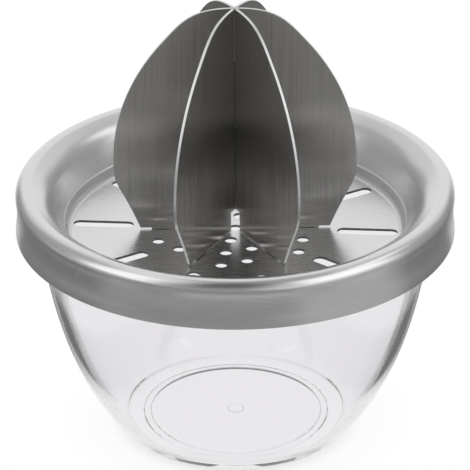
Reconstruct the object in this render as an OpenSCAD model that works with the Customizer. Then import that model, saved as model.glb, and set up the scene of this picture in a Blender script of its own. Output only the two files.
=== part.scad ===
// Hand citrus juicer: a clear moulded bowl, a drawn steel strainer tray that caps it,
// and a six-finned reamer made of three interlocked steel plates.
// Millimetres. The origin is the middle of the bowl's foot on the table, +Z is up,
// and the top plate of the reamer lies along X.

/* [Bowl] */
// Height of the bowl from the table to the top of its rim
bowl_h = 70.3; // [60:0.1:100]
// Radius of the middle of the rim's wall
rim_r = 54; // [45:0.1:70]
// Thickness of the side wall
bowl_wall = 2.2; // [1.4:0.1:3]
// Height of the straight, slightly flared collar below the rim
collar_h = 11.3; // [8:0.1:20]
// How far the collar's foot stands in from its top
collar_draft = 1.5; // [0.5:0.1:3]
// Radius of the outer edge of the foot
foot_r = 30.9; // [26:0.1:38]
// Round on the outer edge of the foot
foot_round = 0.5; // [0.4:0.1:1.5]
// How far the edge of the flat floor inside stands in from the foot's edge
heel_in = 1; // [0.8:0.1:4]
// Width from the foot's edge to the inner edge of the ring that stands on the table
foot_ring_w = 4.8; // [3:0.1:8]
// Height of the chamfered step inside that ring
foot_step_h = 0.3; // [0.2:0.1:0.4]
// Width from the ring's inner edge to the recess in the underside
foot_step_w = 2.1; // [1:0.1:4]
// Depth of the recess
recess_h = 1.2; // [0.8:0.1:1.6]
// How far the recess's steep side leans in over its depth
recess_draft = 0.15; // [0.05:0.05:0.4]
// Thickness of the floor over the recess
floor_t = 2; // [1.2:0.1:3]
// Diameter of the moulding gate's mark in the recess
gate_d = 4.4; // [2:0.1:8]
// Height of the gate's mark
gate_h = 0.2; // [0.1:0.1:0.6]

/* [Strainer tray] */
// Thickness of the tray's sheet
tray_t = 0.7; // [0.4:0.1:1]
// Slope of the broad brim, which rises outwards
brim_slope = 29.4; // [20:0.1:36]
// How far the brim's inner corner stands in from the rim
brim_in = 3.2; // [2.6:0.1:4]
// How far the middle of the brim's outer round stands out from the rim
brim_out = 2.6; // [2:0.1:4]
// Outer radius of the brim's outer round
brim_round = 3; // [2:0.1:3.5]
// Outer radius of the bend between the brim and the dish's wall
brim_bend = 4.5; // [1:0.1:5]
// Depth of the dish from the brim's crest to the floor
dish_h = 14; // [12:0.1:20]
// Lean of the dish's wall above the ledge, from upright
dish_lean = 28; // [15:1:35]
// Lean of the dish's wall below the ledge, from upright
foot_lean = 5; // [2:1:15]
// Height of the pressed ledge above the floor
ledge_h = 3.5; // [2.5:0.1:6]
// Width of the pressed ledge
ledge_w = 0.4; // [0.2:0.1:1.2]
// Radius of the bend between the floor and the wall
knuckle_r = 1.6; // [1:0.1:3]
// How far the skirt's lower edge stands out past the brim's outer round
skirt_flare = 0.1; // [0:0.05:1]
// How far the skirt's waist stands in from the brim's outer round
waist_in = 0.35; // [0.1:0.05:0.6]
// Height of the waist above the skirt's edge
waist_h = 5.6; // [4:0.1:7]
// Height from the skirt's edge to the brim's crest
skirt_h = 13.5; // [11:0.1:18]

/* [Strainer holes] */
// Spacing of the round holes
hole_pitch = 7.4; // [6.5:0.1:8.5]
// Diameter of a round hole
hole_d = 3.4; // [2:0.1:4.2]
// Number of radial slots
slot_n = 10; // [6:1:14]
// Width of a slot
slot_w = 3.6; // [2:0.1:5]
// Plain metal between the outermost round holes and the slots
slot_web = 3.9; // [1.5:0.1:7]
// Plain metal between the slots and the bend of the wall
slot_edge = 0.3; // [0.2:0.1:4]
// Turn of the first slot from X
slot_turn = -5.2; // [-18:0.1:18]

/* [Reamer] */
// Thickness of the reamer's plates
plate_t = 0.8; // [0.6:0.1:1.2]
// Height of the reamer above its lower edge
reamer_h = 64.8; // [56:0.1:80]
// Half width of a plate at its lower edge
reamer_foot_r = 25.8; // [24.5:0.1:30]
// Lean of a plate's side where it leaves the lower edge
reamer_foot_lean = 22; // [5:1:30]
// Length of the side that keeps about that lean
reamer_foot_run = 15; // [6:0.1:16]
// Half width of a plate at its widest
reamer_belly_r = 32.9; // [30:0.1:38]
// Height of the widest place
reamer_belly_h = 20.2; // [16:0.1:28]
// Reach of the belly's curve downwards
belly_down = 8.3; // [4:0.1:12]
// Reach of the belly's curve upwards
belly_up = 16.3; // [8:0.1:20]
// Half width of a plate at its shoulder, between belly and crown
shoulder_r = 19.5; // [15:0.1:23]
// How far the shoulder lies below the crown
shoulder_drop = 9.9; // [6:0.1:14]
// Slope of the outline at the shoulder
shoulder_slope = 49; // [35:1:60]
// Reach of the shoulder's curve down and up the outline
shoulder_reach = 8.6; // [5:0.1:10]
// Reach of the crown's curve to each side
crown_reach = 11.5; // [6:0.1:14]
// Gap between a plate's lower edge and the floor
edge_gap = 0.5; // [0.2:0.1:1]
// Width of the notch over the middle hole
notch_w = 6; // [5:0.1:9]
// Height of the notch over the middle hole
notch_h = 5.5; // [3:0.1:9]
// Height where the lower plate hands over to the middle one
low_joint_h = 30.2; // [20:0.1:35]
// Height where the middle plate hands over to the top one
high_joint_h = 50; // [40:0.1:53]
// Width of a tab below a plate
tab_w = 4; // [3:0.1:5]
// Length of a tab's part that is folded under the floor
fold_l = 3; // [2:0.1:5]
// Inner radius of a tab's fold
fold_r = 0.3; // [0.2:0.05:0.4]
// How far the bearing edge beside a tab reaches past it on each side
ear_w = 1.2; // [0.6:0.1:2]

/* [Fits] */
// Clearance between the rim and the brim's underside
seat_clear = 0.2; // [0.1:0.05:0.5]
// Clearance of a tab in its slot, on each side
tab_clear = 0.2; // [0.1:0.05:0.4]
// Clearance between a folded tab and the floor's underside
fold_clear = 0.1; // [0.05:0.05:0.3]
// Clearance of a plate in another plate's slot, on each side
lock_clear = 0.1; // [0.05:0.05:0.3]

/* [Hidden] */
$fn = 72;
// Chord steps of the curves in an outline
curve_n = 18;
arc_step = 9;
// Overshoot of a cut past the face it opens
cut = 0.5;

// Radii of the bowl's base, from the foot's edge inwards
floor_r = foot_r - heel_in;
foot_ring_r = foot_r - foot_ring_w;
recess_r = foot_ring_r - foot_step_w;
base_t = recess_h + floor_t;

// The brim lies on the rim; its outer round and its inner corner follow from there
brim_up = [-sin(brim_slope), cos(brim_slope)];
brim_along = [cos(brim_slope), sin(brim_slope)];
brim_seat = [rim_r, bowl_h - bowl_wall / 2] + (bowl_wall / 2 + seat_clear + tray_t) * brim_up;
function brim_spot(r) = brim_seat + (r - brim_seat[0]) / cos(brim_slope) * brim_along;
round_c = [rim_r + brim_out, brim_spot(rim_r + brim_out)[1] - brim_round / cos(brim_slope)];
brim_turn = 90 - dish_lean - brim_slope;
bend_c = brim_spot(rim_r - brim_in) + brim_bend * (tan(brim_turn / 2) * brim_along - brim_up);

// Levels that the tray and the reamer take from the bowl
crest_z = round_c[1] + brim_round;
skirt_z = crest_z - skirt_h;
floor_z = crest_z - dish_h;
plate_z = floor_z + edge_gap;

// The grid is turned so that one hole in each sixth falls under a fin, where the tabs go
hole_rings = 3;
grid_turn = atan(sqrt(3) / 5);
tab_r = hole_pitch * sqrt(7);
fin_n = 6;
// Two plates that cross at 60 degrees need this much room along each other
lock_w = plate_t * sqrt(3) + 2 * lock_clear;

// Outline helpers: [radius, height] points along an arc or a cubic curve
function arc(c, r, from, to) =
    let (n = max(2, ceil(abs(to - from) / arc_step)))
    [for (i = [0:n]) let (a = from + (to - from) * i / n) c + r * [cos(a), sin(a)]];
function bezier(p, n = curve_n) =
    [for (i = [0:n]) let (t = i / n, s = 1 - t)
        s * s * s * p[0] + 3 * s * s * t * p[1] + 3 * s * t * t * p[2] + t * t * t * p[3]];
function flipped(list) = [for (i = [len(list) - 1:-1:0]) list[i]];
function without_first(list) = [for (i = [1:len(list) - 1]) list[i]];
function unit(v) = v / norm(v);

// The same path moved sideways by d, to the right of its direction, with mitred corners
function beside(path, d) =
    let (last = len(path) - 1)
    [for (i = [0:last])
        let (
            a = unit(path[min(i + 1, last)] - path[min(i, last - 1)]),
            b = unit(path[max(i, 1)] - path[max(i - 1, 0)]),
            m = unit(a + b)
        )
        path[i] + d / (m * a) * [m[1], -m[0]]];

// Bowl
// One moulding, about as thick all over, that stands on a narrow ring round a stepped recess
module bowl() {
    rim_z = bowl_h - bowl_wall / 2;
    collar_z = bowl_h - collar_h;
    collar_out = rim_r + bowl_wall / 2 - collar_draft;
    collar_in = collar_out - bowl_wall;
    // The side leaves the collar in line with it and meets the foot at a slant
    side_pull = 0.6 * collar_z;
    side_in = side_pull * collar_draft / collar_h;
    heel = 0.15 * collar_z;
    outer = bezier([
        [collar_out, collar_z],
        [collar_out - side_in, collar_z - side_pull],
        [foot_r + heel, foot_round + heel],
        [foot_r, foot_round]
    ]);
    inner = bezier([
        [collar_in, collar_z],
        [collar_in - side_in, collar_z - side_pull],
        [floor_r + heel, base_t + heel],
        [floor_r, base_t]
    ]);
    color([0.88, 0.9, 0.96, 0.35]) {
        rotate_extrude() polygon(concat(
            [[0, base_t]],
            flipped(inner),
            arc([rim_r, rim_z], bowl_wall / 2, 180, 0),
            outer,
            [[foot_r - foot_round, 0], [foot_ring_r, 0], [foot_ring_r - foot_step_h, foot_step_h]],
            [[recess_r, foot_step_h], [recess_r - recess_draft, recess_h], [0, recess_h]]
        ));
        translate([0, 0, recess_h - gate_h]) cylinder(d = gate_d, h = gate_h + cut);
    }
}

// Strainer tray
// The dish's wall leans in from the brim, past a narrow ledge, to the bend of the floor
wall_top = bend_c + brim_bend * [-cos(dish_lean), sin(dish_lean)];
ledge_z = floor_z + ledge_h;
ledge_out = wall_top[0] - (wall_top[1] - ledge_z) * tan(dish_lean);
ledge_in = [ledge_out - ledge_w, ledge_z - ledge_w / 2];
knuckle_z = floor_z + knuckle_r * (1 - sin(foot_lean));
knuckle_out = ledge_in[0] - (ledge_in[1] - knuckle_z) * tan(foot_lean);
flat_r = knuckle_out - knuckle_r * cos(foot_lean);
skirt_r = round_c[0] + brim_round + skirt_flare;
slot_out_r = flat_r - slot_edge;
slot_in_r = hole_rings * hole_pitch + hole_d / 2 + slot_web;

// Upper face of the drawn sheet, from the middle of the floor out to the skirt's edge
function tray_face() =
    let (
        tuck = 8,
        under = round_c + brim_round * [cos(tuck), -sin(tuck)],
        waist = [round_c[0] + brim_round - waist_in, skirt_z + waist_h],
        pull = (under[1] - waist[1]) * 0.4,
        edge = [skirt_r, skirt_z],
        edge_pull = waist_h * 0.4
    )
    concat(
        [[0, floor_z]],
        arc([flat_r, floor_z + knuckle_r], knuckle_r, -90, -foot_lean),
        [ledge_in, [ledge_out, ledge_z]],
        arc(bend_c, brim_bend, 180 - dish_lean, 90 + brim_slope),
        arc(round_c, brim_round, 90 + brim_slope, -tuck),
        without_first(bezier([under, under - pull * [sin(tuck), cos(tuck)], waist + [0, pull], waist], 8)),
        without_first(bezier([waist, waist - [0, edge_pull], edge + [0, edge_pull], edge], 8))
    );

// Places of the round holes: a six-sided patch of an even grid, less those under the fins
function grid_spot(i, j) =
    hole_pitch * (i * [cos(grid_turn), sin(grid_turn)]
        + j * [cos(grid_turn + 60), sin(grid_turn + 60)]);
function under_fin(p) = norm(p) > hole_pitch / 2 && abs(sin(3 * atan2(p[1], p[0]))) < 0.1;
hole_spots = [for (i = [-hole_rings:hole_rings], j = [-hole_rings:hole_rings])
    if (abs(i + j) <= hole_rings && !under_fin(grid_spot(i, j))) grid_spot(i, j)];

module radial_slot(from, to, width, height) {
    round_r = width / 2;
    translate([from + round_r, -round_r, 0]) cube([to - from - width, width, height]);
    for (x = [from + round_r, to - round_r]) translate([x, 0, 0]) cylinder(d = width, h = height);
}

module strainer_tray() {
    face = tray_face();
    through = tray_t + 2 * cut;
    color([0.78, 0.78, 0.79]) difference() {
        rotate_extrude() polygon(concat(face, flipped(beside(face, tray_t))));
        translate([0, 0, floor_z - tray_t - cut]) {
            for (p = hole_spots) translate([p[0], p[1], 0]) cylinder(d = hole_d, h = through);
            for (k = [0:slot_n - 1]) rotate(slot_turn + k * 360 / slot_n)
                radial_slot(slot_in_r, slot_out_r, slot_w, through);
            for (k = [0:fin_n - 1]) rotate(k * 360 / fin_n) {
                slot_l = tab_w + 2 * tab_clear;
                slot_t = plate_t + 2 * tab_clear;
                translate([tab_r - slot_l / 2, -slot_t / 2, 0]) cube([slot_l, slot_t, through]);
            }
        }
    }
}

// Reamer
// Right half of a plate's outline: foot, belly and crown
function plate_edge() =
    let (
        foot = [reamer_foot_r, 0],
        belly = [reamer_belly_r, reamer_belly_h],
        shoulder = [shoulder_r, reamer_h - shoulder_drop],
        crown = [0, reamer_h],
        foot_pull = reamer_foot_run * [sin(reamer_foot_lean), cos(reamer_foot_lean)],
        shoulder_pull = shoulder_reach * [-cos(shoulder_slope), sin(shoulder_slope)]
    )
    concat(
        bezier([foot, foot + foot_pull, belly - [0, belly_down], belly], 10),
        without_first(bezier([belly, belly + [0, belly_up], shoulder - shoulder_pull, shoulder], 14)),
        without_first(bezier([shoulder, shoulder + shoulder_pull, crown + [crown_reach, 0], crown], 12))
    );

// A flat plate, with its solid part on the axis between two heights
module plate_sheet(lock_from, lock_to) {
    edge = plate_edge();
    bearing = tab_w + 2 * ear_w;
    fold_z = tray_t + fold_clear - fold_r;
    difference() {
        union() {
            polygon(concat(edge, [for (p = without_first(flipped(edge))) [-p[0], p[1]]]));
            for (side = [-1, 1]) translate([side * tab_r, -edge_gap]) {
                translate([-bearing / 2, 0]) square([bearing, 2 * edge_gap]);
                translate([-tab_w / 2, -fold_z]) square([tab_w, fold_z + edge_gap]);
            }
        }
        translate([-notch_w / 2, -cut]) square([notch_w, notch_h + cut]);
        translate([-lock_w / 2, -cut]) square([lock_w, lock_from + cut]);
        translate([-lock_w / 2, lock_to]) square([lock_w, reamer_h]);
    }
}

// A tab's end, bent through a quarter turn and laid flat under the floor
module folded_tab() {
    bend = [plate_t / 2 + fold_r, 0];
    lip_x = bend[0] + fold_l;
    outside = arc(bend, fold_r + plate_t, 180, 270);
    inside = arc(bend, fold_r, 270, 180);
    rotate([90, 0, 90]) translate([0, 0, -tab_w / 2]) linear_extrude(tab_w) polygon(concat(
        outside,
        [[lip_x, -fold_r - plate_t], [lip_x, -fold_r]],
        inside
    ));
}

module plate(turn, lock_from, lock_to) {
    fold_z = floor_z - tray_t - fold_clear + fold_r;
    rotate(turn) {
        translate([0, plate_t / 2, plate_z]) rotate([90, 0, 0]) linear_extrude(plate_t)
            plate_sheet(lock_from, lock_to);
        for (side = [0, 180]) rotate(side) translate([tab_r, 0, fold_z]) folded_tab();
    }
}

module top_plate() color([0.6, 0.6, 0.61])
    plate(0, high_joint_h + lock_clear, reamer_h + cut);
module middle_plate() color([0.62, 0.62, 0.63])
    plate(60, low_joint_h + lock_clear, high_joint_h - lock_clear);
module lower_plate() color([0.64, 0.64, 0.65])
    plate(120, notch_h, low_joint_h - lock_clear);

bowl();
strainer_tray();
top_plate();
middle_plate();
lower_plate();
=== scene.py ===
# Hand citrus juicer: a clear bowl, a drawn steel strainer tray that caps it and a reamer
# of three interlocked steel plates. Metres, +Z up, the bowl's foot on the table at the origin.
from math import atan, cos, pi, radians, sin, sqrt, tan

import bmesh
import bpy
from mathutils import Matrix, Quaternion, Vector


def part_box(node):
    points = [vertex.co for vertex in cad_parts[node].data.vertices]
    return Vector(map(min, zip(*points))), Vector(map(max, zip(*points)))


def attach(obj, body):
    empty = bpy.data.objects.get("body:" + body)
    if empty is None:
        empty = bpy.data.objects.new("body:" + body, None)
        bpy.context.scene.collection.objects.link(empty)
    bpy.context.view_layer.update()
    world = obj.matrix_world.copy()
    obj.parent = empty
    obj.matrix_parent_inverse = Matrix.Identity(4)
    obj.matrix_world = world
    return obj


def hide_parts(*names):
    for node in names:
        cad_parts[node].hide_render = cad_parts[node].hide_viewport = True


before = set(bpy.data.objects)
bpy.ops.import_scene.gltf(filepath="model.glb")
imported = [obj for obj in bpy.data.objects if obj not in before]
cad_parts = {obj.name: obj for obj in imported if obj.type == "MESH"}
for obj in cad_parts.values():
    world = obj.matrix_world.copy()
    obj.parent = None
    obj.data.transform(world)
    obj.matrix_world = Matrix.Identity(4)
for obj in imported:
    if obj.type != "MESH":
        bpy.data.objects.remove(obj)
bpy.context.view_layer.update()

# The bowl
# One clear plastic moulding with an even wall, polished all over. It stands on a narrow ring, inside
# which its base is recessed in two steps, with the moulding gate's mark in the middle.
_, bowl_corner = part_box("bowl")
bowl_top = bowl_corner[2]
bowl_wall = 0.0022
rim_radius = 0.054
collar_height = 0.0113
collar_draft = 0.0015
side_pull_share = 0.6
heel_pull_share = 0.15
foot_radius = 0.0309
foot_round = 0.0005
foot_ring_width = 0.0048
base_step = 0.0003
base_step_width = 0.0021
recess_height = 0.0012
recess_draft = 0.00015
base_thickness = 0.002
gate_radius = 0.0022
gate_height = 0.0002
bowl_segments = 192
on_axis = 1e-6
bowl_tint = (0.965, 0.955, 0.97, 1)
haze_scale = (140, 140, 60)
haze_roughness = 0.015
flow_scale = (45, 45, 18)
flow_depth = 0.0002


def on_circle(centre, radius, angle):
    """The point of a circle at an angle in degrees, as (radius, height)."""
    turn = radians(angle)
    return Vector((centre[0] + radius * cos(turn), centre[1] + radius * sin(turn)))


def arc(centre, radius, start, end, steps):
    """Points from one angle to another, in degrees, round a centre (radius, height)."""
    return [on_circle(centre, radius, start + (end - start) * i / steps) for i in range(steps + 1)]


def curve(start, start_pull, end_pull, end, steps):
    """Points along a cubic curve between two places, drawn by two pulls."""
    a, b, c, d = (Vector(p) for p in (start, start_pull, end_pull, end))
    shares = [i / steps for i in range(steps + 1)]
    return [(1 - t) ** 3 * a + 3 * (1 - t) ** 2 * t * b + 3 * (1 - t) * t ** 2 * c + t ** 3 * d
            for t in shares]


def beside(path, distance):
    """The path moved sideways, to the right of its direction, with mitred corners."""
    moved = []
    for i, point in enumerate(path):
        ahead = (path[min(i + 1, len(path) - 1)] - path[min(i, len(path) - 2)]).normalized()
        behind = (path[max(i, 1)] - path[max(i - 1, 0)]).normalized()
        middle = (ahead + behind).normalized()
        moved.append(point + distance / middle.dot(ahead) * Vector((middle[1], -middle[0])))
    return moved


def turned(outline, segments):
    """A bmesh of an outline of (radius, height) points turned round Z, with poles on the axis.

    Its UV map is the piece rolled out flat, in metres: the way along the outline, laid round the axis."""
    shape = bmesh.new()
    uv = shape.loops.layers.uv.new("UVMap")
    angles = [2 * pi * k / segments for k in range(segments + 1)]
    rings = []
    for radius, height in outline:
        if radius < on_axis:
            ring = [shape.verts.new((0, 0, height))] * segments
        else:
            ring = [shape.verts.new((radius * cos(a), radius * sin(a), height)) for a in angles[:-1]]
        rings.append(ring + ring[:1])
    way = outline[0][0]
    for start, end, ring, next_ring in zip(outline, outline[1:], rings, rings[1:]):
        next_way = way + (end - start).length
        for k in range(segments):
            corners = [(ring[k], way, angles[k]), (ring[k + 1], way, angles[k + 1]),
                       (next_ring[k + 1], next_way, angles[k + 1]), (next_ring[k], next_way, angles[k])]
            kept = [c for n, c in enumerate(corners) if c[0] not in [d[0] for d in corners[:n]]]
            face = shape.faces.new([c[0] for c in kept])
            for loop, (_, reach, angle) in zip(face.loops, kept):
                loop[uv].uv = (reach * cos(angle), reach * sin(angle))
        way = next_way
    return shape


def piece(name, shape, materials, sharp_angle):
    """An object at the origin with the bmesh's faces turned outwards and its edges kept crisp."""
    bmesh.ops.recalc_face_normals(shape, faces=shape.faces)
    mesh = bpy.data.meshes.new(name)
    shape.to_mesh(mesh)
    shape.free()
    for material in materials:
        mesh.materials.append(material)
    mesh.shade_smooth()
    mesh.set_sharp_from_angle(angle=radians(sharp_angle))
    made = bpy.data.objects.new(name, mesh)
    bpy.context.scene.collection.objects.link(made)
    return made


def rounded_edges(owner, label, width, segments, least_angle):
    """Small rounds on those edges of a piece that bend by more than an angle in degrees."""
    rounds = owner.modifiers.new(label, "BEVEL")
    rounds.width = width
    rounds.segments = segments
    rounds.limit_method = "ANGLE"
    rounds.angle_limit = radians(least_angle)


def add_node(tree, kind, inputs=None, **settings):
    """A new node of a tree, with its settings, and its inputs set to values or linked to sockets."""
    node = tree.nodes.new(kind)
    for key, value in settings.items():
        setattr(node, key, value)
    for key, value in (inputs or {}).items():
        if isinstance(value, bpy.types.NodeSocket):
            tree.links.new(value, node.inputs[key])
        else:
            node.inputs[key].default_value = value
    return node


def coordinates(tree, kind):
    """Texture coordinates of one kind."""
    return add_node(tree, "ShaderNodeTexCoord").outputs[kind]


def finish_of(name, constants):
    """A new material with one Principled shader; returns the material, its tree and the shader.

    The constants are those of the shader's sockets that are the same all over the surface."""
    material = bpy.data.materials.new(name)
    material.use_nodes = True
    shader = material.node_tree.nodes["Principled BSDF"]
    for socket, value in constants.items():
        shader.inputs[socket].default_value = value
    return material, material.node_tree, shader


def stretched_noise(tree, source, scale, detail):
    """A noise with its own scale along each axis of a vector socket; returns its value socket."""
    place = add_node(tree, "ShaderNodeMapping", {"Vector": source, "Scale": scale}).outputs["Vector"]
    noise = add_node(tree, "ShaderNodeTexNoise", {"Vector": place, "Scale": 1, "Detail": detail})
    return noise.outputs["Fac"]


def ranged(tree, value, value_low, value_high, low, high):
    """A number socket that goes from low to high as a value goes over its own span."""
    spans = {"From Min": value_low, "From Max": value_high, "To Min": low, "To Max": high}
    return add_node(tree, "ShaderNodeMapRange", {"Value": value, **spans}).outputs["Result"]


def between(tree, noise, low, high):
    """A number socket that goes from low to high as a noise goes over its usual span."""
    noise_low, noise_high = 0.25, 0.75
    return ranged(tree, noise, noise_low, noise_high, low, high)


def relief(tree, shader, value, depth, strength):
    """Fine relief, its depth in metres, under a shader."""
    bump = add_node(tree, "ShaderNodeBump", {"Height": value, "Distance": depth, "Strength": strength})
    tree.links.new(bump.outputs["Normal"], shader.inputs["Normal"])


clear_plastic, tree, shader = finish_of(
    "clear_plastic", {"Base Color": bowl_tint, "Transmission Weight": 1, "IOR": 1.49})
bowl_place = coordinates(tree, "Object")
haze = stretched_noise(tree, bowl_place, haze_scale, detail=3)
tree.links.new(between(tree, haze, 0, haze_roughness), shader.inputs["Roughness"])
flow = stretched_noise(tree, bowl_place, flow_scale, detail=1)
relief(tree, shader, flow, flow_depth, strength=0.02)

collar_foot = bowl_top - collar_height
collar_radius = rim_radius + bowl_wall / 2 - collar_draft
side_pull = side_pull_share * collar_foot
side_in = side_pull * collar_draft / collar_height
heel_pull = heel_pull_share * collar_foot
ring_radius = foot_radius - foot_ring_width
recess_radius = ring_radius - base_step_width
base_height = recess_height + base_thickness
gate_end = recess_height - gate_height

side_foot = Vector((foot_radius, foot_round))
bowl_side = curve((collar_radius, collar_foot), (collar_radius - side_in, collar_foot - side_pull),
                  side_foot + Vector((heel_pull, heel_pull)), side_foot, steps=48)
bowl_inside = [p for p in beside(bowl_side, bowl_wall) if p[1] > base_height]
last, before_last = bowl_inside[-1], bowl_inside[-2]
floor_edge = before_last.lerp(last, (before_last[1] - base_height) / (before_last[1] - last[1]))
underside = [Vector(p) for p in (
    (ring_radius, 0), (ring_radius - base_step, base_step),
    (recess_radius, base_step), (recess_radius - recess_draft, recess_height),
    (gate_radius, recess_height), (gate_radius, gate_end), (0, gate_end))]
bowl_outline = (
    [Vector((0, base_height)), floor_edge]
    + bowl_inside[::-1]
    + arc((rim_radius, bowl_top - bowl_wall / 2), bowl_wall / 2, 180, 0, steps=16)
    + bowl_side
    + arc((foot_radius - foot_round, foot_round), foot_round, 0, -90, steps=6)[1:]
    + underside
)
bowl = piece("clear_bowl", turned(bowl_outline, bowl_segments), [clear_plastic], sharp_angle=40)
rounded_edges(bowl, "moulded_edges", width=0.00025, segments=3, least_angle=12)
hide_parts("bowl")
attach(bowl, "bowl")

# The strainer tray
# One deep-drawn stainless sheet: a flat floor that strains the juice, a leaning wall with a narrow
# pressed ledge, a broad brim that lies on the bowl's rim, and a skirt that hangs over its collar.
# The brim's slope, the leans and the tuck under its round are in degrees.
_, tray_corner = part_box("strainer_tray")
crest = tray_corner[2]
sheet = 0.0007
skirt_height = 0.0135
dish_depth = 0.014
brim_slope = 29.4
brim_corner_in = 0.0032
brim_bend = 0.009
round_radius = 0.003
round_out = 0.0026
dish_lean = 28
foot_lean = 5
ledge_rise = 0.0035
ledge_width = 0.0004
ledge_ease = 0.00022
knuckle = 0.0016
tuck = 8
waist_rise = 0.0056
waist_in = 0.00035
skirt_flare = 0.0001
pull_share = 0.4
tray_segments = 256

skirt_edge = crest - skirt_height
dish_floor = crest - dish_depth
round_centre = Vector((rim_radius + round_out, crest - round_radius))
round_edge = round_centre[0] + round_radius
brim_top = on_circle(round_centre, round_radius, 90 + brim_slope)
brim_along = on_circle((0, 0), 1, brim_slope)
brim_up = Vector((-brim_along[1], brim_along[0]))
brim_corner = brim_top - brim_along * ((brim_top[0] - rim_radius + brim_corner_in) / brim_along[0])
brim_turn = 90 - dish_lean - brim_slope
bend_centre = brim_corner + brim_bend * (tan(radians(brim_turn / 2)) * brim_along - brim_up)
wall_top = on_circle(bend_centre, brim_bend, 180 - dish_lean)
ledge_height = dish_floor + ledge_rise
ledge_out = Vector((wall_top[0] - (wall_top[1] - ledge_height) * tan(radians(dish_lean)), ledge_height))
ledge_in = ledge_out - Vector((ledge_width, ledge_width / 2))
knuckle_height = dish_floor + knuckle * (1 - sin(radians(foot_lean)))
knuckle_radius = ledge_in[0] - (ledge_in[1] - knuckle_height) * tan(radians(foot_lean))
knuckle_end = Vector((knuckle_radius, knuckle_height))
flat_radius = knuckle_radius - knuckle * cos(radians(foot_lean))
waist = Vector((round_edge - waist_in, skirt_edge + waist_rise))
skirt_end = Vector((round_edge + skirt_flare, skirt_edge))
under_round = on_circle(round_centre, round_radius, -tuck)
tuck_way = Vector((sin(radians(tuck)), cos(radians(tuck))))
waist_pull = (under_round[1] - waist[1]) * pull_share
skirt_pull = Vector((0, (waist[1] - skirt_edge) * pull_share))


def eased(before, corner, after, reach):
    """A corner of a path drawn as a short curve that starts and ends a reach away from it."""
    start = corner + (before - corner).normalized() * reach
    end = corner + (after - corner).normalized() * reach
    return curve(start, corner.lerp(start, pull_share), corner.lerp(end, pull_share), end, steps=6)


tray_face = (
    arc((flat_radius, dish_floor + knuckle), knuckle, -90, -foot_lean, steps=10)
    + eased(knuckle_end, ledge_in, ledge_out, ledge_ease)
    + eased(ledge_in, ledge_out, wall_top, ledge_ease)
    + arc(bend_centre, brim_bend, 180 - dish_lean, 90 + brim_slope, steps=10)
    + arc(round_centre, round_radius, 90 + brim_slope, -tuck, steps=24)
    + curve(under_round, under_round - waist_pull * tuck_way,
            waist + Vector((0, waist_pull)), waist, steps=12)[1:]
    + curve(waist, waist - skirt_pull, skirt_end + skirt_pull, skirt_end, steps=12)[1:]
)
tray_shape = turned(tray_face + beside(tray_face, sheet)[::-1], tray_segments)

# The strainer's floor is punched: round holes on an even grid, a ring of radial slots, and six
# short slots for the reamer's tabs. A node tree lays out their outlines and cuts the sheet.
# Holes in line with a fin are left out: three times their angle has a sine near 0.
hole_pitch = 0.0074
hole_diameter = 0.0034
hole_rings = 3
hole_points = 28
grid_turn = atan(sqrt(3) / 5)
half_pitch = 0.5
in_line = 0.1
slot_count = 10
slot_width = 0.0036
slot_gap = 0.0039
slot_inner = hole_rings * hole_pitch + hole_diameter / 2 + slot_gap
slot_margin = 0.0003
slot_outer = flat_radius - slot_margin
slot_turn = radians(-5.2)
slot_round_share = 0.499
slot_round_points = 10
fin_count = 6
tab_radius = hole_pitch * sqrt(7)
tab_width = 0.004
plate_thickness = 0.0008
tab_clearance = 0.0002
edge_reach = 0.00005
lying_flat = 0.5
floor_weld = 0.000002
seam_weld = 0.000004
streak_depth = 0.00001
floor_tones = ((0.74, 0.74, 0.745, 1), (0.8, 0.8, 0.805, 1))
floor_roughness = (0.22, 0.3)
brim_tones = ((0.68, 0.68, 0.685, 1), (0.72, 0.72, 0.725, 1))
brim_roughness = (0.21, 0.27)
foot_dullness = 0.12
dull_until = 0.004
bright_from = 0.009
# Painted shade: the walls of the punched holes and slots get near-black steel tones that stand in for the
# shade inside them.
punched_wall_shade_tones = ((0.1, 0.1, 0.105, 1), (0.22, 0.22, 0.225, 1))


def reckon(tree, operation, *values):
    """One calculation with numbers or sockets; returns its result."""
    return add_node(tree, "ShaderNodeMath", dict(enumerate(values)), operation=operation).outputs[0]


def length_of(tree, vector):
    """The length of a vector socket."""
    return add_node(tree, "ShaderNodeVectorMath", {0: vector}, operation="LENGTH").outputs["Value"]


def tone(tree, shader, noise, dark, light):
    """Base colour that goes from one tone to another with a noise.

    A mix of colours has its share at input 0, its colours at 6 and 7 and its result at output 2."""
    share = between(tree, noise, 0, 1)
    mix = add_node(tree, "ShaderNodeMix", {0: share, 6: dark, 7: light}, data_type="RGBA")
    tree.links.new(mix.outputs[2], shader.inputs["Base Color"])


def brushed_steel(name, streaks, across, sharpness, tones, strength):
    """Steel brushed along one way of the UV map: streaks, and a sheen that spreads across them.

    Returns the material, its tree, its shader and the streaks' noise."""
    sheen = {"Metallic": 1, "Anisotropic": sharpness, "Anisotropic Rotation": across}
    material, tree, shader = finish_of(name, sheen)
    tangent = add_node(tree, "ShaderNodeTangent", direction_type="UV_MAP", uv_map="UVMap")
    tree.links.new(tangent.outputs["Tangent"], shader.inputs["Tangent"])
    grain = stretched_noise(tree, coordinates(tree, "UV"), streaks, detail=2)
    tone(tree, shader, grain, *tones)
    relief(tree, shader, grain, streak_depth, strength)
    return material, tree, shader, grain


satin_floor, tree, shader, grain = brushed_steel(
    "satin_floor", streaks=(60, 3200, 1), across=0.25, sharpness=0.7, tones=floor_tones, strength=0.1)
tree.links.new(between(tree, grain, *floor_roughness), shader.inputs["Roughness"])

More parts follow.
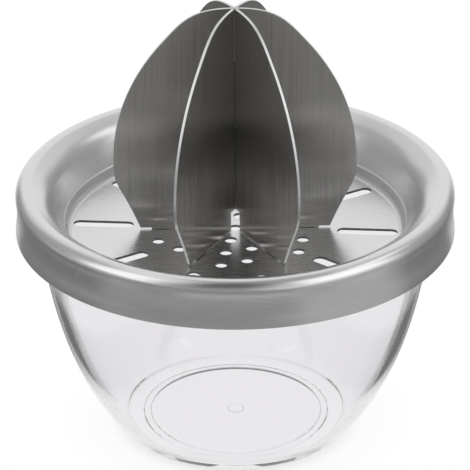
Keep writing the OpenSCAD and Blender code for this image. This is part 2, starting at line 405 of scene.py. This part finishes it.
satin_brim, tree, shader, grain = brushed_steel(
    "satin_brim", streaks=(90, 2200, 1), across=0.25, sharpness=0.15, tones=brim_tones, strength=0.06)
brim_way = length_of(tree, coordinates(tree, "UV"))
dull_foot = ranged(tree, brim_way, flat_radius + dull_until, flat_radius + bright_from, foot_dullness, 0)
brim_dullness = reckon(tree, "ADD", between(tree, grain, *brim_roughness), dull_foot)
tree.links.new(brim_dullness, shader.inputs["Roughness"])

# The holes' and slots' walls: steel with painted shade, its dark tone varied by a fine noise.
shaded_punched_wall, tree, shader = finish_of("shaded_punched_wall", {"Metallic": 1, "Roughness": 0.55})
shear = stretched_noise(tree, coordinates(tree, "Object"), scale=(2000, 2000, 300), detail=1)
tone(tree, shader, shear, *punched_wall_shade_tones)

punching = bpy.data.node_groups.new("punched_floor", "GeometryNodeTree")
punching_inputs = {}
for label, value in (
    ("Floor radius", flat_radius),
    ("Floor segments", tray_segments),
    ("Sheet", sheet),
    ("Top", dish_floor),
    ("Hole pitch", hole_pitch),
    ("Hole radius", hole_diameter / 2),
    ("Hole rings", hole_rings),
    ("Grid turn", grid_turn),
    ("Slot count", slot_count),
    ("Slot length", slot_outer - slot_inner),
    ("Slot width", slot_width),
    ("Slot middle", (slot_outer + slot_inner) / 2),
    ("Slot turn", slot_turn),
    ("Fin count", fin_count),
    ("Tab middle", tab_radius),
    ("Tab slot length", tab_width + 2 * tab_clearance),
    ("Tab slot width", plate_thickness + 2 * tab_clearance),
):
    kind = "NodeSocketInt" if isinstance(value, int) else "NodeSocketFloat"
    socket = punching.interface.new_socket(label, in_out="INPUT", socket_type=kind)
    punching_inputs[socket.identifier] = value
punching.interface.new_socket("Geometry", in_out="OUTPUT", socket_type="NodeSocketGeometry")
sizes = add_node(punching, "NodeGroupInput").outputs


def step(kind, inputs=None, **settings):
    """First output of a new node of the punching tree."""
    return add_node(punching, kind, inputs, **settings).outputs[0]


def sum_of(operation, *values):
    """One calculation of the punching tree."""
    return reckon(punching, operation, *values)


def flat_place(x, y, scale):
    """A place on the floor from two sockets, times a scale."""
    return step("ShaderNodeCombineXYZ", {0: sum_of("MULTIPLY", x, scale), 1: sum_of("MULTIPLY", y, scale)})


def upward(vector):
    """The part of a vector socket along Z."""
    return add_node(punching, "ShaderNodeSeparateXYZ", {0: vector}).outputs["Z"]


def joined(*parts):
    """One geometry of several."""
    join = add_node(punching, "GeometryNodeJoinGeometry")
    for part in parts:
        punching.links.new(part, join.inputs[0])
    return join.outputs[0]


index = step("GeometryNodeInputIndex")
grid_side = sum_of("MULTIPLY_ADD", sizes["Hole rings"], 2, 1)
column = sum_of("SUBTRACT", sum_of("MODULO", index, grid_side), sizes["Hole rings"])
row = sum_of("SUBTRACT", sum_of("FLOOR", sum_of("DIVIDE", index, grid_side)), sizes["Hole rings"])
row_turn = sum_of("ADD", sizes["Grid turn"], pi / 3)


def on_grid(function):
    """A hole's place along X or Y in pitches, by the cosine or sine of the grid's two ways."""
    from_column = sum_of("MULTIPLY", column, sum_of(function, sizes["Grid turn"]))
    from_row = sum_of("MULTIPLY", row, sum_of(function, row_turn))
    return sum_of("ADD", from_column, from_row)


grid_x = on_grid("COSINE")
grid_y = on_grid("SINE")
spots = step("GeometryNodePoints", {
    "Count": sum_of("MULTIPLY", grid_side, grid_side),
    "Position": flat_place(grid_x, grid_y, sizes["Hole pitch"])})
third_way = sum_of("ABSOLUTE", sum_of("ADD", column, row))
outside = sum_of("GREATER_THAN", third_way, sum_of("ADD", sizes["Hole rings"], half_pitch))
plate_count = sum_of("DIVIDE", sizes["Fin count"], 2)
fin_wave = sum_of("SINE", sum_of("MULTIPLY", sum_of("ARCTAN2", grid_y, grid_x), plate_count))
near_fin = sum_of("LESS_THAN", sum_of("ABSOLUTE", fin_wave), in_line)
from_middle = sum_of("ADD", sum_of("ABSOLUTE", grid_x), sum_of("ABSOLUTE", grid_y))
off_middle = sum_of("GREATER_THAN", from_middle, half_pitch)
left_out = sum_of("MAXIMUM", outside, sum_of("MULTIPLY", near_fin, off_middle))
kept_spots = step("GeometryNodeDeleteGeometry", {"Geometry": spots, "Selection": left_out}, domain="POINT")
hole = step("GeometryNodeCurvePrimitiveCircle", {"Resolution": hole_points, "Radius": sizes["Hole radius"]})
holes = step("GeometryNodeInstanceOnPoints", {"Points": kept_spots, "Instance": hole})


def ring_of(count, turn, middle, outline):
    """Copies of an outline that lies along X, set round the axis."""
    angle = sum_of("ADD", turn, sum_of("DIVIDE", sum_of("MULTIPLY", index, 2 * pi), count))
    spot = flat_place(sum_of("COSINE", angle), sum_of("SINE", angle), middle)
    points = step("GeometryNodePoints", {"Count": count, "Position": spot})
    facing = step("ShaderNodeCombineXYZ", {2: angle})
    return step("GeometryNodeInstanceOnPoints", {"Points": points, "Instance": outline, "Rotation": facing})


def box_outline(length, width):
    """A rectangle's outline that lies along X."""
    return step("GeometryNodeCurvePrimitiveQuadrilateral", {"Width": length, "Height": width})


slot_round = sum_of("MULTIPLY", sizes["Slot width"], slot_round_share)
slot_box = box_outline(sizes["Slot length"], sizes["Slot width"])
slot_outline = step("GeometryNodeFilletCurve",
                    {"Curve": slot_box, "Radius": slot_round, "Count": slot_round_points}, mode="POLY")
slots = ring_of(sizes["Slot count"], sizes["Slot turn"], sizes["Slot middle"], slot_outline)
tab_outline = box_outline(sizes["Tab slot length"], sizes["Tab slot width"])
tab_slots = ring_of(sizes["Fin count"], 0, sizes["Tab middle"], tab_outline)
floor_outline = step("GeometryNodeCurvePrimitiveCircle",
                     {"Resolution": sizes["Floor segments"], "Radius": sizes["Floor radius"]})
outlines = step("GeometryNodeRealizeInstances", {0: joined(floor_outline, holes, slots, tab_slots)})
low_face = step("GeometryNodeFillCurve", {"Curve": outlines}, mode="NGONS")
walls = step("GeometryNodeExtrudeMesh", {
    "Mesh": low_face, "Offset": (0, 0, 1), "Offset Scale": sizes["Sheet"], "Individual": False})
closed_plate = joined(walls, step("GeometryNodeFlipFaces", {0: low_face}))
flat_spot = step("ShaderNodeVectorMath", {0: step("GeometryNodeInputPosition"), 1: (1, 1, 0)},
                 operation="MULTIPLY")
edge_from = sum_of("SUBTRACT", sizes["Floor radius"], edge_reach)
near_edge = sum_of("GREATER_THAN", length_of(punching, flat_spot), edge_from)
face_level = sum_of("ABSOLUTE", upward(step("GeometryNodeInputNormal")))
edge_wall = sum_of("MULTIPLY", near_edge, sum_of("LESS_THAN", face_level, lying_flat))
open_plate = step("GeometryNodeDeleteGeometry", {"Geometry": closed_plate, "Selection": edge_wall},
                  domain="FACE")
welded = step("GeometryNodeMergeByDistance", {"Geometry": open_plate, "Distance": floor_weld})
lift = step("ShaderNodeCombineXYZ", {2: sum_of("SUBTRACT", sizes["Top"], sizes["Sheet"])})
lifted = step("GeometryNodeTransform", {"Geometry": welded, "Translation": lift})
real_plate = step("GeometryNodeRealizeInstances", {0: lifted})
dressed = step("GeometryNodeSetMaterial", {"Geometry": real_plate, "Material": satin_floor})
add_node(punching, "NodeGroupOutput", {0: dressed})

blank = bpy.data.objects.new("punched_floor", bpy.data.meshes.new("punched_floor"))
bpy.context.scene.collection.objects.link(blank)
cutter = blank.modifiers.new("punching", "NODES")
cutter.node_group = punching
for identifier, value in punching_inputs.items():
    cutter[identifier] = value
graph = bpy.context.evaluated_depsgraph_get()
floor_mesh = bpy.data.meshes.new_from_object(blank.evaluated_get(graph))
bpy.data.objects.remove(blank)

brim_faces = len(tray_shape.faces)
tray_shape.from_mesh(floor_mesh)
tray_shape.normal_update()
tray_uv = tray_shape.loops.layers.uv["UVMap"]
tray_finishes = [satin_brim, satin_floor, shaded_punched_wall]
for face in list(tray_shape.faces)[brim_faces:]:
    finish = satin_floor if abs(face.normal.z) > lying_flat else shaded_punched_wall
    face.material_index = tray_finishes.index(finish)
    for loop in face.loops:
        loop[tray_uv].uv = loop.vert.co.xy
bmesh.ops.remove_doubles(tray_shape, verts=tray_shape.verts, dist=seam_weld)
tray = piece("strainer_tray", tray_shape, tray_finishes, sharp_angle=30)
rounded_edges(tray, "punched_edges", width=0.00012, segments=2, least_angle=50)
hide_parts("strainer_tray")
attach(tray, "tray")

# The reamer
# Three stainless plates, brushed upright, cross on the axis by half-depth slots. Each one's two tabs
# go through the tray's floor and are folded flat under it. The sheared outline is bright.
# Heights are from the plates' lower edge, and the slopes are in degrees.
_, plate_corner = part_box("top_plate")
crown = plate_corner[2]
edge_gap = 0.0005
plate_foot = dish_floor + edge_gap
plate_height = crown - plate_foot
foot_half = 0.0258
foot_side_lean = 22
foot_side_reach = 0.015
belly_half = 0.0329
belly_height = 0.0202
belly_down = 0.0083
belly_up = 0.0163
shoulder_half = 0.0195
shoulder_drop = 0.0099
shoulder_slope = 49
shoulder_reach = 0.0086
crown_reach = 0.0115
notch_half = 0.003
notch_height = 0.0055
low_joint = 0.0302
high_joint = 0.05
lock_clearance = 0.0001
lock_half = plate_thickness * sqrt(3) / 2 + lock_clearance
lock_mouth_share = 1.5
fold_length = 0.003
fold_radius = 0.0003
fold_steps = 6
fold_clearance = 0.0001
ear = 0.0012
same_point = 1e-6
plate_tones = ((0.41, 0.4, 0.385, 1), (0.54, 0.53, 0.51, 1))
plate_roughness = (0.21, 0.26)
edge_tones = ((0.64, 0.64, 0.64, 1), (0.76, 0.76, 0.76, 1))
edge_roughness = (0.3, 0.45)

brushed_plate, tree, shader, grain = brushed_steel(
    "brushed_plate", streaks=(2200, 30, 1), across=0, sharpness=1, tones=plate_tones, strength=0.1)
tree.links.new(between(tree, grain, *plate_roughness), shader.inputs["Roughness"])

cut_edge, tree, shader = finish_of("cut_edge", {"Metallic": 1})
shear = stretched_noise(tree, coordinates(tree, "Object"), scale=(900, 900, 900), detail=2)
tone(tree, shader, shear, *edge_tones)
tree.links.new(between(tree, shear, *edge_roughness), shader.inputs["Roughness"])
plate_finishes = [brushed_plate, cut_edge]


def plate_side():
    """Right half of a plate's outline above its lower edge, from the foot to the crown."""
    foot_corner = Vector((foot_half, 0))
    foot_pull = foot_side_reach * Vector((sin(radians(foot_side_lean)), cos(radians(foot_side_lean))))
    belly = Vector((belly_half, belly_height))
    shoulder = Vector((shoulder_half, plate_height - shoulder_drop))
    shoulder_pull = shoulder_reach * Vector((-cos(radians(shoulder_slope)), sin(radians(shoulder_slope))))
    top = Vector((0, plate_height))
    return (curve(foot_corner, foot_corner + foot_pull, belly - Vector((0, belly_down)), belly, steps=20)
            + curve(belly, belly + Vector((0, belly_up)), shoulder - shoulder_pull, shoulder, steps=28)[1:]
            + curve(shoulder, shoulder + shoulder_pull, top + Vector((crown_reach, 0)), top, steps=24)[1:])


def right_half(lock_from, lock_to):
    """Right half of the whole outline, from the axis at the bottom round to the axis at the top."""
    tab_in, tab_out = tab_radius - tab_width / 2, tab_radius + tab_width / 2
    tab_end = -edge_gap - sheet - fold_clearance + fold_radius
    path = [Vector((0, max(lock_from, notch_height)))]
    if lock_from > notch_height:
        path += [Vector((lock_half, lock_from)), Vector((lock_half, notch_height))]
    path += [Vector(p) for p in (
        (notch_half, notch_height), (notch_half, 0),
        (tab_in - ear, 0), (tab_in - ear, -edge_gap), (tab_in, -edge_gap), (tab_in, tab_end),
        (tab_out, tab_end), (tab_out, -edge_gap), (tab_out + ear, -edge_gap), (tab_out + ear, 0))]
    side = plate_side()
    if lock_to < plate_height:
        side = [p for p in side if p[0] > lock_half * lock_mouth_share]
        side += [Vector((lock_half, plate_height)), Vector((lock_half, lock_to)), Vector((0, lock_to))]
    return path + side


def push_out(shape, faces, way):
    """Extrudes faces of a bmesh along a way."""
    made = bmesh.ops.extrude_face_region(shape, geom=faces)
    moved = [v for v in made["geom"] if isinstance(v, bmesh.types.BMVert)]
    bmesh.ops.translate(shape, verts=moved, vec=way)


def fold_tab(shape, tab_end):
    """Bends a tab on from its end face and lays its tip flat, each of a plate's two to its own side."""
    side = 1 if tab_end.calc_center_median().x > 0 else -1
    bend = (0, side * (plate_thickness / 2 + fold_radius), tab_end.verts[0].co.z)
    known = set(shape.faces)
    spun = bmesh.ops.spin(shape, geom=[tab_end], cent=bend, axis=(1, 0, 0), angle=side * pi / 2,
                          steps=fold_steps, use_duplicate=False)
    end = [f for f in spun["geom_last"] if isinstance(f, bmesh.types.BMFace)]
    push_out(shape, end, (0, side * fold_length, 0))
    bmesh.ops.delete(shape, geom=[f for f in end if f.is_valid], context="FACES_ONLY")
    shape.normal_update()
    for face in set(shape.faces) - known:
        finish = cut_edge if abs(face.normal.x) >= lying_flat else brushed_plate
        face.material_index = plate_finishes.index(finish)


def reamer_plate(name, node, turn, lock_from, lock_to):
    """One plate with its folded tabs, turned about the axis by degrees."""
    half = right_half(lock_from, lock_to)
    outline = half + [Vector((-p[0], p[1])) for p in half[-2:0:-1]]
    shape = bmesh.new()
    uv = shape.loops.layers.uv.new("UVMap")
    front = shape.faces.new([shape.verts.new((p[0], -plate_thickness / 2, p[1])) for p in outline])
    push_out(shape, [front], (0, plate_thickness, 0))
    shape.normal_update()
    for face in shape.faces:
        finish = brushed_plate if abs(face.normal.y) > lying_flat else cut_edge
        face.material_index = plate_finishes.index(finish)
    lowest = min(v.co.z for v in shape.verts)
    tab_ends = [f for f in shape.faces if all(abs(v.co.z - lowest) < same_point for v in f.verts)]
    for tab_end in tab_ends:
        fold_tab(shape, tab_end)
    bmesh.ops.remove_doubles(shape, verts=shape.verts, dist=same_point)
    for face in shape.faces:
        for loop in face.loops:
            loop[uv].uv = (loop.vert.co.x, loop.vert.co.z)
    seat = Matrix.Rotation(radians(turn), 4, "Z") @ Matrix.Translation((0, 0, plate_foot))
    bmesh.ops.transform(shape, matrix=seat, verts=shape.verts)
    plate = piece(name, shape, plate_finishes, sharp_angle=35)
    rounded_edges(plate, "sheared_edges", width=0.00008, segments=2, least_angle=60)
    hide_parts(node)
    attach(plate, "tray")


reamer_plate("reamer_lower_plate", "lower_plate", 120, notch_height, low_joint - lock_clearance)
reamer_plate("reamer_middle_plate", "middle_plate", 60,
             low_joint + lock_clearance, high_joint - lock_clearance)
reamer_plate("reamer_top_plate", "top_plate", 0, high_joint + lock_clearance, plate_height)

# The setting
# A pale round table in a plain room. The camera sees both as white, with the shade close round the
# foot. Steel sees the room's light and dim panels, and a lit table with a shaded band on either side.
# Clear plastic sees a pale backdrop with a dim flag on either side, which draws the bowl's edges.
table_radius = 0.17
table_white = (0.95, 0.95, 0.95, 1)
plain_white = (1, 1, 1, 1)
# Distance from the table's middle, and how much of plain white the camera sees over the shade there.
white_over_shade = ((0.026, 0.5), (0.035, 0.93), (0.05, 1), (table_radius, 1))
# Distance to the side, and the table's grey there as steel sees it.
table_in_steel = ((0, 1), (0.046, 1), (0.056, 0.2), (0.08, 0.2), (0.09, 0.9), (table_radius, 0.9))
# Distance from the table's middle, and how far it gives way there to the room in what steel sees.
room_in_steel = ((0, 0), (0.115, 0), (0.13, 1), (table_radius, 1))


def grey_ramp(tree, value, stops):
    """A socket that goes through (place, grey) stops as a value goes over their places."""
    low, high = stops[0][0], stops[-1][0]
    ramp = add_node(tree, "ShaderNodeValToRGB", {"Fac": ranged(tree, value, low, high, 0, 1)})
    elements = ramp.color_ramp.elements
    while len(elements) < len(stops):
        elements.new(1)
    for element, (place, grey) in zip(elements, stops):
        element.position = (place - low) / (high - low)
        element.color = (grey, grey, grey, 1)
    return ramp.outputs["Color"]


def mixed(tree, share, first, second):
    """A shader that goes from the first to the second as a share goes from 0 to 1."""
    return add_node(tree, "ShaderNodeMixShader", {0: share, 1: first, 2: second}).outputs[0]


def plain_shader(tree, kind, colour):
    """A shader with nothing but a colour, or a socket for one."""
    return add_node(tree, kind, {"Color": colour}).outputs[0]


table_paint = bpy.data.materials.new("table_white")
table_paint.use_nodes = True
paint = table_paint.node_tree
paint.nodes.clear()
table_place = coordinates(paint, "Object")
from_centre = length_of(paint, table_place)
to_side = reckon(paint, "ABSOLUTE", add_node(paint, "ShaderNodeSeparateXYZ", {0: table_place}).outputs["X"])
ray = add_node(paint, "ShaderNodeLightPath").outputs
matt = plain_shader(paint, "ShaderNodeBsdfDiffuse", table_white)
glow = plain_shader(paint, "ShaderNodeEmission", plain_white)
clear = plain_shader(paint, "ShaderNodeBsdfTransparent", plain_white)
mirrored_table = plain_shader(paint, "ShaderNodeEmission", grey_ramp(paint, to_side, table_in_steel))
mirrored = mixed(paint, grey_ramp(paint, from_centre, room_in_steel), mirrored_table, clear)
white_share = reckon(paint, "MULTIPLY", grey_ramp(paint, from_centre, white_over_shade), ray["Is Camera Ray"])
table_look = mixed(paint, white_share, matt, glow)
table_look = mixed(paint, ray["Is Glossy Ray"], table_look, mirrored)
table_look = mixed(paint, ray["Is Transmission Ray"], table_look, clear)
from_below = add_node(paint, "ShaderNodeNewGeometry").outputs["Backfacing"]
table_look = mixed(paint, from_below, table_look, clear)
add_node(paint, "ShaderNodeOutputMaterial", {"Surface": table_look})

table_shape = bmesh.new()
bmesh.ops.create_circle(table_shape, cap_ends=True, radius=table_radius, segments=128)
table = piece("table", table_shape, [table_paint], sharp_angle=30)

# The room's angles are in degrees: heading 0 is behind the object and 90 to its right, climb 0 is level.
# Climb, and the room's grey there.
room_by_climb = ((-90, 0.25), (-35, 0.18), (-10, 0.32), (10, 0.42), (45, 0.5), (70, 0.45), (90, 0.45))
# Brightness of each panel, then its middle and half width by heading and by climb, and its soft edge.
room_panels = (
    (0.97, 2, 29, 26, 54, 5),
    (0.8, 0, 54, 42, 30, 12),
    (1.0, -65, 85, 67, 13, 8),
    (0.8, 45, 45, 61, 9, 8),
    (1.35, 84, 24, 48, 12, 8),
    (1.4, -117, 24, 33, 29, 8),
    (1.0, -142, 14, 48, 20, 8),
    (1.45, 121, 30, 31, 26, 9),
    (0.8, 158, 16, 24, 26, 9),
    (0.85, 125, 40, 2, 14, 10),
    (0.55, -100, 34, -3, 14, 10),
    (0.5, 118, 38, -30, 26, 12),
    (0.36, -130, 34, -36, 25, 12),
    (0.33, 180, 40, -32, 28, 12),
)
least_core = 0.5
# The room is dimmer over the camera, in a patch that is given like a panel's.
camera_side = (-174, 30, 58, 34, 16)
camera_shade = 0.75
# A flag lies between two headings to either side, below a climb and above a slanted lower edge.
flag_near, flag_far = 16, 45
flag_top = -30.5
flag_slant, flag_slant_at = 1.86, 44.4
flag_soft = 1.2
flag_grey = 0.22
# Heading to either side, and the grey of the backdrop that the bowl shows there.
backdrop_by_side = ((0, 0.88), (8, 0.88), (16, 0.8), (180, 0.8))

room = bpy.data.worlds.new("studio")
bpy.context.scene.world = room
room.use_nodes = True
sky = room.node_tree
sky.nodes.clear()
direction = add_node(sky, "ShaderNodeSeparateXYZ", {0: coordinates(sky, "Generated")}).outputs
heading = reckon(sky, "ARCTAN2", direction["X"], direction["Y"])
climb = reckon(sky, "ARCSINE", direction["Z"])


def angle_ramp(value, stops):
    """A grey ramp of the room whose places are in degrees."""
    return grey_ramp(sky, value, [(radians(angle), grey) for angle, grey in stops])


def within(value, middle, half, soft):
    """A share that is 1 round a middle angle and falls softly to 0 at half a width away."""
    off = reckon(sky, "PINGPONG", reckon(sky, "SUBTRACT", value, radians(middle)), pi)
    return angle_ramp(off, ((0, 1), (max(half - soft, least_core), 1), (half + soft, 0)))


def panel(heading_at, heading_half, climb_at, climb_half, soft):
    """The share of a soft-edged patch of the room."""
    across = within(heading, heading_at, heading_half, soft)
    return reckon(sky, "MULTIPLY", across, within(climb, climb_at, climb_half, soft))


light = angle_ramp(climb, room_by_climb)
for brightness, *patch in room_panels:
    light = reckon(sky, "MAXIMUM", light, reckon(sky, "MULTIPLY", panel(*patch), brightness))
shade = reckon(sky, "MULTIPLY", panel(*camera_side), camera_shade)
light = reckon(sky, "MULTIPLY", light, reckon(sky, "SUBTRACT", 1, shade))

side_heading = reckon(sky, "ABSOLUTE", heading)
flag_depth = reckon(sky, "SUBTRACT", side_heading, radians(flag_near))
for edge in (
    reckon(sky, "ADD", side_heading, reckon(sky, "MULTIPLY_ADD", climb, flag_slant, radians(flag_slant_at))),
    reckon(sky, "SUBTRACT", radians(flag_top), climb),
    reckon(sky, "SUBTRACT", radians(flag_far), side_heading),
):
    flag_depth = reckon(sky, "MINIMUM", flag_depth, edge)
flag = angle_ramp(flag_depth, ((-flag_soft, 1), (flag_soft, flag_grey)))
backdrop = reckon(sky, "MULTIPLY", flag, angle_ramp(side_heading, backdrop_by_side))

lit_room = plain_shader(sky, "ShaderNodeBackground", light)
room_through_bowl = plain_shader(sky, "ShaderNodeBackground", backdrop)
room_in_camera = plain_shader(sky, "ShaderNodeBackground", plain_white)
ray = add_node(sky, "ShaderNodeLightPath").outputs
room_look = mixed(sky, ray["Is Transmission Ray"], lit_room, room_through_bowl)
room_look = mixed(sky, ray["Is Camera Ray"], room_look, room_in_camera)
add_node(sky, "ShaderNodeOutputWorld", {"Surface": room_look})

lit_middle = Vector((0, 0, 0.06))


def soft_box(name, place, width, height, watts):
    """A rectangular lamp that faces the object and shows in no reflection or refraction."""
    lamp = bpy.data.lights.new(name, "AREA")
    lamp.shape = "RECTANGLE"
    lamp.size = width
    lamp.size_y = height
    lamp.energy = watts
    stand = bpy.data.objects.new(name, lamp)
    stand.location = place
    stand.rotation_euler = (lit_middle - Vector(place)).to_track_quat("-Z", "Y").to_euler()
    stand.visible_glossy = False
    stand.visible_transmission = False
    bpy.context.scene.collection.objects.link(stand)


soft_box("top_box", (0, 0.3, 1.1), width=1.2, height=0.8, watts=3.6)
soft_box("left_box", (-1, 0.1, 0.6), width=0.5, height=0.7, watts=1)
soft_box("right_box", (1, 0.1, 0.6), width=0.5, height=0.7, watts=1)

# The camera looks down on the tray's edge from the front, a little from the left. Angles in radians.
aim_drop = 0.0027
camera_distance = 1.1
camera_rise = 0.4705
camera_turn = 0.0185
camera_roll = -0.0035
focal_pixels = 4031.3
frame_pixels = 470
shift_pixels = (-0.3, -0.2)
lens = bpy.data.cameras.new("camera")
lens.sensor_width = 36
lens.lens = lens.sensor_width * focal_pixels / frame_pixels
lens.shift_x = shift_pixels[0] / frame_pixels
lens.shift_y = shift_pixels[1] / frame_pixels
camera = bpy.data.objects.new("camera", lens)
aim = Vector((0, 0, skirt_edge - aim_drop))
level_reach = cos(camera_rise)
back = Vector((-sin(camera_turn) * level_reach, -cos(camera_turn) * level_reach, sin(camera_rise)))
camera.location = aim + camera_distance * back
level = (-back).to_track_quat("-Z", "Y")
camera.rotation_euler = (level @ Quaternion((0, 0, 1), camera_roll)).to_euler()
bpy.context.scene.collection.objects.link(camera)
bpy.context.scene.camera = camera
bpy.context.scene.view_settings.view_transform = "Standard"
